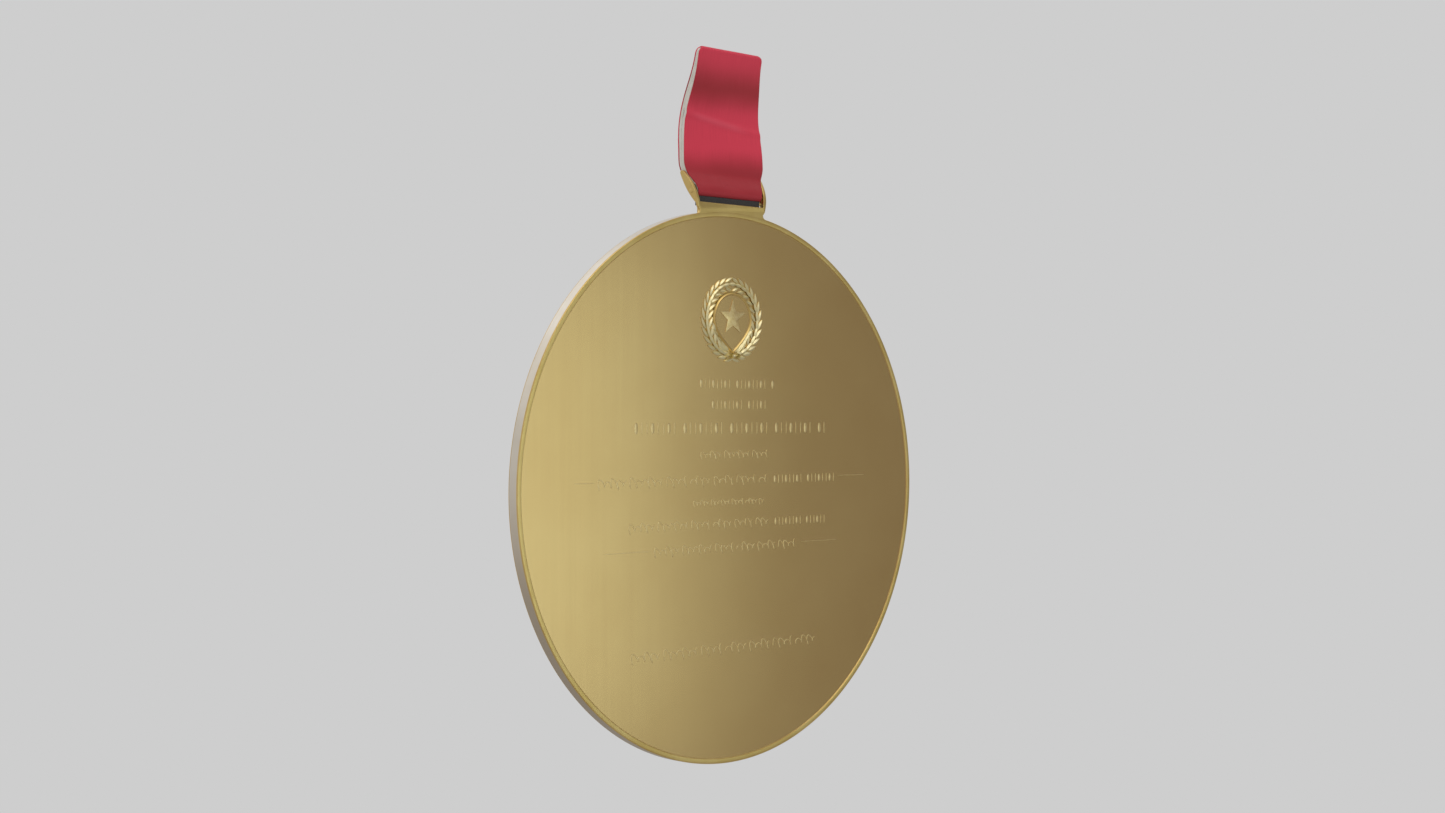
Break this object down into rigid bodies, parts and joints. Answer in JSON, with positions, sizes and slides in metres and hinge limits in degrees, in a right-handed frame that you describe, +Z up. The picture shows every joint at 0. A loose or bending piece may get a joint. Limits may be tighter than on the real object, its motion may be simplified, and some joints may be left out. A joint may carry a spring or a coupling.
{
  "type": "medal",
  "caption": "Round two-tone presentation medal with a raised rim and an applied laurel badge, hung by an eared bracket and cross bar from a short lined satin ribbon loop.",
  "frame": {"origin": "inside top of the ribbon loop, where a hook or pin carries the medal", "axes": "+Z up along the hanging medal, the engraved face looks along -Y, +X to the reader's right"},
  "size_m": [0.08, 0.0042, 0.1033],
  "materials": {
    "gold_brushed": "fine upright brushing under a clear lacquer",
    "gold_polished": "bright polished",
    "gold_relief": "struck relief with bright high points",
    "nickel": "turned and lightly polished edge",
    "black_felt": "dense black felt",
    "red_satin": "satin weave, soft sheen",
    "cream_lining": "plain woven cotton",
    "red_thread": "twisted sewing thread"
  },
  "bodies": {
    "ribbon": {"ribbon_satin": "red_satin", "ribbon_lining": "cream_lining", "seam_thread_1": "red_thread", "seam_thread_2": "red_thread"},
    "medal": {"obverse_plate": "gold_brushed", "core_disc": "nickel", "reverse_plate": "gold_brushed", "suspension_bracket": "gold_polished", "ribbon_bar": "gold_polished", "slot_liner": "black_felt", "bracket_rivet_left": "gold_polished", "bracket_rivet_right": "gold_polished", "laurel_branch_left": "gold_relief", "laurel_branch_right": "gold_relief", "laurel_tie": "gold_relief", "badge_shield": "gold_relief", "badge_star": "gold_relief", "badge_post_upper": "nickel", "badge_post_lower": "nickel"}
  },
  "joints": [
    {"name": "medal_swing", "type": "hinge", "parent": "ribbon", "child": "medal", "pos_m": [0, 0, -0.02025], "axis": [1, 0, 0], "range_deg": [-90, 90]}
  ]
}
